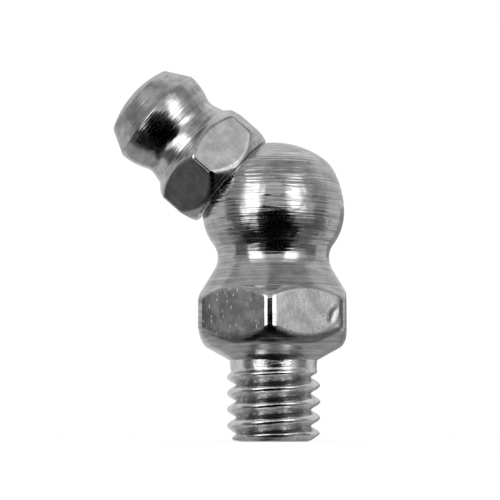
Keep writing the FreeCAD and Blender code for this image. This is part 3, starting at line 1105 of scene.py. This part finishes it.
@dataclass
class AngleBody:
    """The turned piece with the thread, hexagon, neck and ball.

    Angles are in degrees. The end inset, lip and rise shape the rim where the thread ends:
    how far inside the thread its face stops, and how far out and up the rim's edge lies.
    """

    thread: Thread = field(default_factory=Thread)
    flats: Flats = Flats(9.0, -93.5, 0.73)
    tool_mark: ToolMark = ToolMark()
    slow_rings: SlowRings = SlowRings(((0.005, 2.3, 7.7), (0.003, 5.1, 1.9)), 3.1)
    passage_radius: float = 1.25
    outlet_chamfer: float = 0.25
    drill_point_angle: float = 118.0
    hexagon_top: float = 3.67
    underside_angle: float = 29.0
    underside_inset: float = 0.3
    lower_chamfer_angle: float = 46.0
    upper_chamfer_angle: float = 48.0
    underside_round: float = 1.0
    lower_edge_round: float = 0.40
    edge_round: float = 0.24
    cone_inset: float = 0.1
    cone_angle: float = 31.0
    neck_height: float = 6.56
    neck_round: float = 1.4
    ball_radius: float = 4.4
    ball_height: float = 9.2
    shoulder_radius: float = 3.55
    shoulder_rise: float = 2.98
    shoulder_round: float = 2.5
    dome_rise: float = 1.34
    seat_distance: float = 3.4
    socket_depth: float = 2.65
    socket_reach: float = 2.0
    socket_segments: int = 96
    spigot_radius: float = 2.0
    blank_margin: float = 0.45
    bore_margin: float = 0.1
    end_inset: float = 0.14
    end_lip: float = 0.02
    end_rise: float = 0.08
    plain_end: float = 0.05
    plain_inset: float = 0.15
    segments: int = 216
    fine_row: float = 0.08
    thread_row: float = 0.038

    @property
    def underside_radius(self) -> float:
        """Return the radius at the rim of the underside."""
        return self.flats.across / 2 - self.underside_inset

    @property
    def underside_rim(self) -> float:
        """Return the height of that rim."""
        rise = math.tan(math.radians(self.underside_angle))
        return (self.underside_radius - self.thread.relief_radius) * rise

    @property
    def cone_radius(self) -> float:
        """Return the radius at the foot of the cone."""
        return self.flats.across / 2 - self.cone_inset

    @property
    def cone_foot(self) -> float:
        """Return the height of the cone's foot."""
        slope = math.tan(math.radians(self.upper_chamfer_angle))
        return self.hexagon_top + (self.flats.sharp_radius - self.cone_radius) / slope

    @property
    def neck_radius(self) -> float:
        """Return the radius where the cone and the ball would meet."""
        slope = math.tan(math.radians(self.cone_angle))
        return self.cone_radius - (self.neck_height - self.cone_foot) * slope

    def outline(self) -> Outline:
        """Return the outline, from the drill point in the passage to the top of the ball."""
        neck = self.ball_radius - self.neck_radius
        below = (neck ** 2 + (self.ball_height - self.neck_height) ** 2) / (2 * neck)
        side = self.ball_radius - self.shoulder_radius
        above = (side ** 2 + self.shoulder_rise ** 2) / (2 * side)
        dome = (self.shoulder_radius ** 2 + self.dome_rise ** 2) / (2 * self.dome_rise)
        shoulder = self.ball_height + self.shoulder_rise
        drill_rise = self.passage_radius / math.tan(math.radians(self.drill_point_angle / 2))
        blank = self.flats.sharp_radius + self.blank_margin
        lower = math.tan(math.radians(self.lower_chamfer_angle))
        upper = math.tan(math.radians(self.upper_chamfer_angle))
        end, runout = -self.thread.length, self.thread.runout_end
        return Outline([
            Corner(0, LEAN.elbow + drill_rise),
            Corner(self.passage_radius, LEAN.elbow, step=0.3),
            Corner(self.passage_radius, end + self.outlet_chamfer, step=1.2),
            Corner(self.passage_radius + self.outlet_chamfer, end, round=0.08, step=0.1),
            Corner(self.thread.end_radius - self.end_inset, end, round=0.12, step=0.1),
            Corner(self.thread.end_radius + self.end_lip, end + self.end_rise, step=0.03),
            Corner(self.thread.relief(runout), runout, step=self.thread_row),
            Corner(self.thread.relief_radius, 0, round=0.10, step=0.06),
            Corner(self.underside_radius, self.underside_rim, round=self.underside_round,
                   step=self.fine_row),
            Corner(blank, self.underside_rim + (blank - self.underside_radius) * lower, step=0.06),
            Corner(blank, self.cone_foot - (blank - self.cone_radius) / upper, step=0.07),
            Corner(self.cone_radius, self.cone_foot, round=0.5, step=0.06),
            Corner(self.neck_radius, self.neck_height, round=self.neck_round, step=self.fine_row),
            Corner(self.ball_radius, self.ball_height, arc=below, step=self.fine_row),
            Corner(self.shoulder_radius, shoulder, arc=above, round=self.shoulder_round,
                   step=self.fine_row),
            Corner(0, shoulder + self.dome_rise, arc=dome, step=self.fine_row),
        ], turn_per_row=math.radians(5))

    def form(self, radius: float, angle: float, height: float) -> float:
        """Return the radius of the surface with its thread, flats and slow rings.

        Args:
            radius: radius of the outline.
            angle: angle about the axis.
            height: height on the axis.

        Returns:
            The distance of the surface from the axis.
        """
        if radius < self.thread.end_radius - self.plain_inset:
            return radius
        if height <= self.plain_end - self.thread.length:
            return radius
        if height < self.thread.runout_end:
            return self.thread.radius(angle, height)
        turned = radius + self.slow_rings.rise(angle, height)
        if not self.underside_rim < height < self.neck_height:
            return turned
        lower = height < self.hexagon_top / 2
        blend = self.lower_edge_round if lower else self.edge_round
        return soft_min(turned, self.milled(angle, height), blend)

    def milled(self, angle: float, height: float) -> float:
        """Return the radius of the hexagon, with its tool mark.

        Args:
            angle: angle about the axis.
            height: height on the axis.

        Returns:
            The distance of the flats from the axis.
        """
        bar = self.flats.radius(angle)
        across = angle - math.radians(self.flats.corner_turn) - SIXTH_TURN / 2
        if abs(across) < SIXTH_TURN / 2:
            bar += self.tool_mark.relief(bar * math.sin(across), height)
        return bar

    def socket(self) -> bmesh.types.BMesh:
        """Return the cutter for the seat, the socket and the slanted passage."""
        far = self.ball_radius + self.socket_reach
        foot = self.seat_distance - self.socket_depth
        bm = spin_outline(Outline([
            Corner(0, 0),
            Corner(self.passage_radius, 0),
            Corner(self.passage_radius, foot),
            Corner(self.spigot_radius, foot),
            Corner(self.spigot_radius, self.seat_distance),
            Corner(far, self.seat_distance),
            Corner(far, self.seat_distance + far),
            Corner(0, self.seat_distance + far),
        ]), self.socket_segments)
        bmesh.ops.transform(bm, matrix=LEAN.matrix(), verts=bm.verts[:])
        for face in bm.faces:
            face.material_index = BodyZone.BORED.value
        return bm

    def build(self) -> bpy.types.Object:
        """Build the piece and dress it."""
        bm = spin_outline(self.outline(), self.segments)
        bored = self.passage_radius + self.outlet_chamfer + self.bore_margin
        for face in bm.faces:
            middle = face.calc_center_median()
            if middle.xy.length < bored:
                face.material_index = BodyZone.BORED.value
            elif middle.z < 0:
                face.material_index = BodyZone.THREAD.value
        reshape(bm, self.flats, self.form)
        piece = new_object(bm, "turned_body")
        for material in (
            TurnedSteel("body_turned_steel").material(),
            RolledSteel("rolled_thread", self.thread.root_radius, self.thread.crest_radius).material(),
            PlainSteel("body_bores", LEAN.matrix()).material(),
        ):
            piece.data.materials.append(material)
        cut_away(piece, self.socket())
        mark_flats(piece, self.flats, self.underside_rim, self.neck_height)
        finish_mesh(piece, crisp_angle=30)
        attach(piece, "nipple")
        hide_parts("angle_body")
        return piece


@dataclass
class NippleHead:
    """The turned head: spigot, six-sided collar, waist, bulge and tip, with the valve bore.

    Heights are on the head's own axis, and angles in degrees.
    """

    flats: Flats = Flats(6.7, -101.0, 0.30)
    slow_rings: SlowRings = SlowRings(((0.003, 2.7, 4.4),), 5.3)
    spigot_radius: float = 2.0
    spigot_end: float = 0.8
    seat_distance: float = 3.4
    boss_radius: float = 2.6
    boss_length: float = 0.12
    rim_inset: float = 0.07
    back_angle: float = 33.0
    collar_length: float = 3.26
    edge_round: float = 0.14
    blank_margin: float = 0.3
    bore_margin: float = 0.02
    plain_margin: float = 0.1
    neck_radius: float = 2.98
    waist_rise: float = 0.94
    waist_round: float = 1.0
    swell_rise: float = 0.465
    swell_angle: float = 23.5
    bulge_arc: float = 3.7
    bulge_radius: float = 3.25
    front_cone_angle: float = 28.5
    ridge_round: float = 0.15
    tip_radius: float = 2.45
    tip_dome: float = 0.545
    lip_radius: float = 0.8
    lip_top: float = 1.2
    valve_radius: float = 1.3
    orifice_radius: float = 0.75
    seat_depth: float = 0.35
    segments: int = 240
    fine_row: float = 0.06

    @property
    def rim(self) -> float:
        """Return the height of the collar's edge next to the ball."""
        return self.seat_distance + self.boss_length

    @property
    def waist(self) -> float:
        """Return the height of the narrowest place."""
        return self.rim + self.collar_length + self.waist_rise

    def outer_corners(self) -> list[Corner]:
        """Return the corners from the spigot up to the edge of the tip."""
        rim_radius = self.flats.across / 2 - self.rim_inset
        blank = self.flats.sharp_radius + self.blank_margin
        back = self.rim + (blank - rim_radius) / math.tan(math.radians(self.back_angle))
        collar_top = self.rim + self.collar_length
        swell = math.radians(self.swell_angle)
        swell_radius = self.bulge_radius - self.bulge_arc * (1 - math.cos(swell))
        waist_radius = swell_radius - self.swell_rise * math.tan(swell)
        ridge = self.waist + self.swell_rise + self.bulge_arc * math.sin(swell)
        return [
            Corner(self.lip_radius, self.spigot_end, step=0.2),
            Corner(self.spigot_radius, self.spigot_end, round=0.1, step=0.4),
            Corner(self.spigot_radius, self.seat_distance, step=0.9),
            Corner(self.boss_radius, self.seat_distance, step=0.3),
            Corner(self.boss_radius, self.rim, step=0.1),
            Corner(rim_radius, self.rim, round=0.12, step=0.1),
            Corner(blank, back, step=0.05),
            Corner(blank, collar_top - (blank - self.neck_radius), step=0.07),
            Corner(self.neck_radius, collar_top, round=0.08, step=0.05),
            Corner(waist_radius, self.waist, round=self.waist_round, step=self.fine_row),
            Corner(swell_radius, self.waist + self.swell_rise, step=self.fine_row),
            Corner(self.bulge_radius, ridge, arc=self.bulge_arc, round=self.ridge_round,
                   step=self.fine_row),
            Corner(self.tip_radius, self.tip_edge(ridge), round=0.22, step=self.fine_row),
        ]

    def tip_edge(self, ridge: float) -> float:
        """Return the height of the tip's rim, from the height of the ridge."""
        fall = math.tan(math.radians(self.front_cone_angle))
        return ridge + (self.bulge_radius - self.tip_radius) / fall

    def outline(self) -> Outline:
        """Return the closed outline, up the outer side and back down the valve bore."""
        outer = self.outer_corners()
        dome = (self.tip_radius ** 2 + self.tip_dome ** 2) / (2 * self.tip_dome)
        tip_top = outer[-1].up + self.tip_dome
        inlet = tip_top - dome + math.sqrt(dome ** 2 - self.orifice_radius ** 2)
        seat = tip_top - self.seat_depth
        return Outline(outer + [
            Corner(self.orifice_radius, inlet, arc=dome, round=0.1, step=0.1),
            Corner(self.orifice_radius, seat, step=0.1),
            Corner(self.valve_radius, seat - (self.valve_radius - self.orifice_radius), step=0.1),
            Corner(self.valve_radius, self.lip_top, step=1.0),
            Corner(self.lip_radius, self.lip_top, step=0.2),
        ], closed=True, turn_per_row=math.radians(5))

    def form(self, radius: float, angle: float, height: float) -> float:
        """Return the radius of the surface with its flats and slow rings.

        Args:
            radius: radius of the outline.
            angle: angle about the axis.
            height: height on the axis.

        Returns:
            The distance of the surface from the axis.
        """
        if radius < self.spigot_radius + self.plain_margin or height < self.seat_distance:
            return radius
        turned = radius + self.slow_rings.rise(angle, height)
        if height > self.waist:
            return turned
        return soft_min(turned, self.flats.radius(angle), self.edge_round)

    def build(self) -> bpy.types.Object:
        """Build the piece and dress it."""
        bm = spin_outline(self.outline(), self.segments)
        for face in bm.faces:
            if face.calc_center_median().xy.length < self.valve_radius + self.bore_margin:
                face.material_index = HeadZone.BORED.value
        reshape(bm, self.flats, self.form)
        piece = new_object(bm, "turned_head")
        finish = TurnedSteel("head_turned_steel", LEAN.matrix(), ball_height=OUT_OF_REACH,
                             ring_heights=(0.0, 1.0), ring_depth=0.018, streaks=0.35,
                             nicked=0.0, mottle_depth=0.014, matt_height=9.7)
        piece.data.materials.append(finish.material())
        piece.data.materials.append(PlainSteel("valve_bore", LEAN.matrix()).material())
        mark_flats(piece, self.flats, self.seat_distance, self.waist)
        piece.data.transform(LEAN.matrix())
        finish_mesh(piece, crisp_angle=30)
        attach(piece, "nipple")
        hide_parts("nipple_head")
        return piece


@dataclass
class CheckBall:
    """The polished steel ball that closes the inlet from inside."""

    radius: float = 1.2
    distance: float = 10.3476
    subdivisions: int = 6

    def build(self) -> bpy.types.Object:
        """Build the piece and dress it."""
        bm = bmesh.new()
        bmesh.ops.create_icosphere(bm, subdivisions=self.subdivisions, radius=self.radius)
        bmesh.ops.translate(bm, verts=bm.verts[:], vec=LEAN.point(self.distance))
        bmesh.ops.scale(bm, vec=(MM, MM, MM), verts=bm.verts[:])
        for face in bm.faces:
            face.smooth = True
        piece = new_object(bm, "valve_ball_polished")
        place = Matrix.Translation(LEAN.point(self.distance)) @ LEAN.matrix().to_3x3().to_4x4()
        finish = PlainSteel("ball_polished_steel", place, roughness=(0.06, 0.14),
                            greys=(0.48, 0.60), rings_per_mm=5.0)
        piece.data.materials.append(finish.material())
        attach(piece, "valve_ball")
        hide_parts("check_ball")
        return piece


@dataclass
class CheckSpring:
    """The coil spring behind the check ball, wound at an even pitch."""

    wire_radius: float = 0.15
    coil_radius: float = 1.0
    start: float = 1.37
    end: float = 9.42
    turns: float = 5.0
    lip_top: float = 1.2
    travel: float = 0.8
    rows_per_turn: int = 48
    wire_segments: int = 24

    def build(self) -> bpy.types.Object:
        """Build the piece and dress it."""
        bm = bmesh.new()
        quarter = Matrix.Rotation(math.radians(90), 4, "X")
        place = Matrix.Translation((self.coil_radius, 0, self.start))
        bmesh.ops.create_circle(bm, cap_ends=False, segments=self.wire_segments,
                                radius=self.wire_radius, matrix=place @ quarter)
        rows = round(self.turns * self.rows_per_turn)
        rise = self.end - self.start
        bmesh.ops.spin(bm, geom=bm.verts[:] + bm.edges[:], cent=(0, 0, 0), axis=(0, 0, 1),
                       dvec=(0, 0, rise / rows), angle=FULL_TURN * self.turns, steps=rows,
                       use_merge=False, use_duplicate=False)
        bmesh.ops.holes_fill(bm, edges=bm.edges[:], sides=0)
        bmesh.ops.recalc_face_normals(bm, faces=bm.faces[:])
        piece = new_object(bm, "coil_spring")
        piece.data.transform(LEAN.matrix())
        finish_mesh(piece, crisp_angle=50)
        piece.data.materials.append(PlainSteel("spring_wire", LEAN.matrix()).material())
        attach(piece, "nipple")
        tuple(LEAN.direction())
        tuple(LEAN.point(self.lip_top) * MM)
        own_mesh(piece)
        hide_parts("check_spring")
        return piece


def glowing(name: str, strength: float) -> bpy.types.Material:
    """Return a plain white glowing material for a studio card.

    Args:
        name: name of the material.
        strength: how bright it is, where 1 is white.

    Returns:
        The material.
    """
    material = bpy.data.materials.new(name)
    material.use_nodes = True
    tree = material.node_tree
    tree.nodes.clear()
    glow = tree.nodes.new("ShaderNodeEmission")
    glow.inputs["Color"].default_value = (1, 1, 1, 1)
    glow.inputs["Strength"].default_value = strength
    output = tree.nodes.new("ShaderNodeOutputMaterial")
    tree.links.new(glow.outputs[0], output.inputs["Surface"])
    material.cycles.emission_sampling = "NONE"
    return material


@dataclass(frozen=True)
class Card:
    """A bent studio card that only mirrors in the metal: the camera doesn't see it.

    Args:
        name: name of the card.
        left: its left edge, in degrees to the right of the camera's side.
        right: its right edge, counted the same way.
        low: its lower edge, in degrees above the object.
        high: its upper edge.
        glow: how bright it is, where 1 is white.
        distance: from the object.
    """

    name: str
    left: float
    right: float
    low: float
    high: float
    glow: float
    distance: float = 420.0


@dataclass(frozen=True)
class Lamp:
    """A soft box.

    Args:
        name: name of the lamp.
        azimuth: middle of the lamp, in degrees from the camera's side, to the right.
        elevation: middle of the lamp, in degrees above the object.
        width: angle that it spans sideways, in degrees.
        height: angle that it spans upwards, in degrees.
        radiance: brightness of its face, where 1 is white.
        distance: from the object.
    """

    name: str
    azimuth: float
    elevation: float
    width: float
    height: float
    radiance: float
    distance: float = 380.0

    def spanning(self, angle: float) -> float:
        """Return the size in metres that spans an angle at the lamp's distance."""
        return 2 * self.distance * math.tan(math.radians(angle / 2)) * MM


def direction(azimuth: float, elevation: float) -> Vector:
    """Return a direction from the object.

    Args:
        azimuth: degrees to the right of the camera's side.
        elevation: degrees above the object.

    Returns:
        The direction, one long.
    """
    side, rise = math.radians(azimuth), math.radians(elevation)
    flat = math.cos(rise)
    return Vector((math.sin(side) * flat, -math.cos(side) * flat, math.sin(rise)))


@dataclass
class Studio:
    """Camera, lamps, floor, cards and surroundings. Distances are millimetres.

    The floor's glow is the share of its light to the camera that is plain white. The
    surroundings are white, and their value is how bright metal mirrors them.
    """

    aim: Vector = field(default_factory=lambda: Vector((-1.45, 0, 6.85)))
    camera_distance: float = 130.0
    camera_elevation: float = -5.0
    pixels_per_mm: float = 16.1
    image_width: float = 500.0
    sensor: float = 36.0
    floor_height: float = -5.0
    floor_radius: float = 3000.0
    floor_grey: float = 0.98
    floor_roughness: float = 0.8
    floor_gloss: float = 0.2
    floor_glow: float = 0.8
    card_columns: int = 24
    card_rows: int = 12
    surroundings: float = 0.74
    lamps: tuple[Lamp, ...] = (
        Lamp("left_softbox", -36, 14, 22, 36, 1.3),
        Lamp("left_softbox_edge", -36, 14, 32, 48, 0.8, 390),
        Lamp("right_softbox", 36, 12, 20, 30, 1.2),
        Lamp("right_softbox_edge", 37, 12, 32, 42, 0.8, 390),
    )
    cards: tuple[Card, ...] = (
        Card("camera_side", -29, 36, -74, -8, 0.0, 400),
        Card("camera_side_top", -23, 25, -8, 4.5, 0.0, 370),
        Card("low_front", -56, 56, -89, -29, 0.02),
        Card("low_left_front", -54, -29, -30, -6, 1.0, 415),
        Card("low_right_front", 36, 56, -30, -6, 0.42, 415),
        Card("straight_below", 56, 304, -89, -72, 0.30, 430),
        Card("front_between", -24, 24, 15, 46, 0.72),
        Card("front_between_foot", -24, 24, -8, 15, 1.0),
        Card("left_softbox_top", -46, -22, 30, 46, 1.0, 410),
        Card("right_softbox_top", 20, 50, 26, 46, 1.05, 410),
        Card("left_flag", -84, -52, -28, 8, 0.16),
        Card("left_low_flag", -98, -52, -72, -28, 0.14),
        Card("left_low_dark", -80, -50, -89, -46, 0.01, 405),
        Card("left_upper_flag", -90, -52, 8, 38, 0.42),
        Card("right_beside", 52, 67, -16, 30, 0.65),
        Card("right_low_flag", 52, 67, -72, -16, 0.18),
        Card("right_flag", 67, 98, -72, 6, 0.22),
        Card("right_upper_flag", 67, 98, 6, 34, 0.48),
        Card("left_ceiling", -110, -6, 46, 78, 0.60),
        Card("right_ceiling", -6, 92, 46, 78, 0.42),
        Card("front_ceiling", -16, 26, 53, 72, 0.33, 410),
        Card("right_back_flag", 138, 174, -24, 8, 0.34),
        Card("left_high_side", -110, -52, 38, 46, 0.55),
        Card("right_high_side", 52, 92, 34, 46, 0.48),
        Card("back_ceiling", 125, 235, 36, 78, 1.0),
        Card("low_back", 98, 262, -72, -24, 0.47),
    )

    def facing(self, azimuth: float, elevation: float, distance: float) -> Matrix:
        """Return the transform of a flat thing that faces the object from a direction.

        Args:
            azimuth: degrees to the right of the camera's side.
            elevation: degrees above the object.
            distance: from the object.

        Returns:
            The transform, in metres.
        """
        away = direction(azimuth, elevation)
        turn = away.to_track_quat("Z", "Y").to_matrix().to_4x4()
        return Matrix.Translation((self.aim + away * distance) * MM) @ turn

    def add_camera(self) -> None:
        """Add the camera, which looks slightly up from the floor."""
        data = bpy.data.cameras.new("camera")
        data.sensor_width = self.sensor
        data.lens = self.camera_distance * self.pixels_per_mm * self.sensor / self.image_width
        data.clip_start = 0.001
        camera = bpy.data.objects.new("camera", data)
        bpy.context.scene.collection.objects.link(camera)
        camera.matrix_world = self.facing(0, self.camera_elevation, self.camera_distance)
        bpy.context.scene.camera = camera

    def add_lamp(self, lamp: Lamp) -> None:
        """Add one soft box."""
        data = bpy.data.lights.new(lamp.name, "AREA")
        data.shape = "RECTANGLE"
        data.size = lamp.spanning(lamp.width)
        data.size_y = lamp.spanning(lamp.height)
        data.energy = lamp.radiance * math.pi * data.size * data.size_y
        obj = bpy.data.objects.new(lamp.name, data)
        bpy.context.scene.collection.objects.link(obj)
        obj.matrix_world = self.facing(lamp.azimuth, lamp.elevation, lamp.distance)
        obj.visible_camera = False

    def add_card(self, card: Card) -> None:
        """Add one card, bent round the object."""
        bm = bmesh.new()
        bmesh.ops.create_grid(bm, x_segments=self.card_columns, y_segments=self.card_rows, size=0.5)
        for vert in bm.verts:
            azimuth = card.left + (card.right - card.left) * (vert.co.x + 0.5)
            elevation = card.low + (card.high - card.low) * (vert.co.y + 0.5)
            vert.co = (self.aim + direction(azimuth, elevation) * card.distance) * MM
        obj = new_object(bm, card.name)
        obj.data.materials.append(glowing(card.name, card.glow))
        obj.visible_camera = False
        obj.visible_diffuse = False
        obj.visible_shadow = False

    def add_floor(self) -> None:
        """Add the pale floor, which is white to the camera and keeps the object's shadow."""
        bm = bmesh.new()
        bmesh.ops.create_circle(bm, cap_ends=True, segments=96, radius=self.floor_radius * MM,
                                matrix=Matrix.Translation((0, 0, self.floor_height * MM)))
        floor = new_object(bm, "floor")
        material = bpy.data.materials.new("pale_floor")
        material.use_nodes = True
        tree = material.node_tree
        surface = tree.nodes["Principled BSDF"]
        grey = self.floor_grey
        surface.inputs["Base Color"].default_value = (grey, grey, grey, 1)
        surface.inputs["Roughness"].default_value = self.floor_roughness
        surface.inputs["Specular IOR Level"].default_value = self.floor_gloss
        glow = tree.nodes.new("ShaderNodeEmission")
        seen = tree.nodes.new("ShaderNodeLightPath")
        share = tree.nodes.new("ShaderNodeMath")
        share.operation = "MULTIPLY"
        share.inputs[1].default_value = self.floor_glow
        tree.links.new(seen.outputs["Is Camera Ray"], share.inputs[0])
        mix = tree.nodes.new("ShaderNodeMixShader")
        tree.links.new(share.outputs[0], mix.inputs[0])
        tree.links.new(surface.outputs[0], mix.inputs[1])
        tree.links.new(glow.outputs[0], mix.inputs[2])
        tree.links.new(mix.outputs[0], tree.nodes["Material Output"].inputs["Surface"])
        material.cycles.emission_sampling = "NONE"
        floor.data.materials.append(material)
        floor.visible_glossy = False

    def add_world(self) -> None:
        """Add the white surroundings, a little darker where metal mirrors them."""
        world = bpy.data.worlds.new("surroundings")
        world.use_nodes = True
        bpy.context.scene.world = world
        tree = world.node_tree
        background = tree.nodes["Background"]
        background.inputs["Color"].default_value = (1, 1, 1, 1)
        seen = tree.nodes.new("ShaderNodeLightPath")
        strength = tree.nodes.new("ShaderNodeMapRange")
        strength.inputs["To Min"].default_value = 1.0
        strength.inputs["To Max"].default_value = self.surroundings
        tree.links.new(seen.outputs["Is Glossy Ray"], strength.inputs["Value"])
        tree.links.new(strength.outputs[0], background.inputs["Strength"])

    def build(self) -> None:
        """Set up the whole studio."""
        bpy.context.scene.view_settings.view_transform = "Standard"
        self.add_world()
        self.add_floor()
        for lamp in self.lamps:
            self.add_lamp(lamp)
        for card in self.cards:
            self.add_card(card)
        self.add_camera()


def log_triangles(pieces: Iterable[bpy.types.Object]) -> None:
    """Log how many triangles each piece has.

    Args:
        pieces: the pieces.
    """
    for piece in pieces:
        triangles = sum(len(face.vertices) - 2 for face in piece.data.polygons)
        LOG.info("%s: %d triangles", piece.name, triangles)


def main() -> None:
    """Build the studio and the four pieces."""
    logging.basicConfig(level=logging.INFO, format="%(name)s: %(message)s")
    Studio().build()
    log_triangles([part.build() for part in (AngleBody(), NippleHead(), CheckBall(), CheckSpring())])


if __name__ == "__main__":
    main()
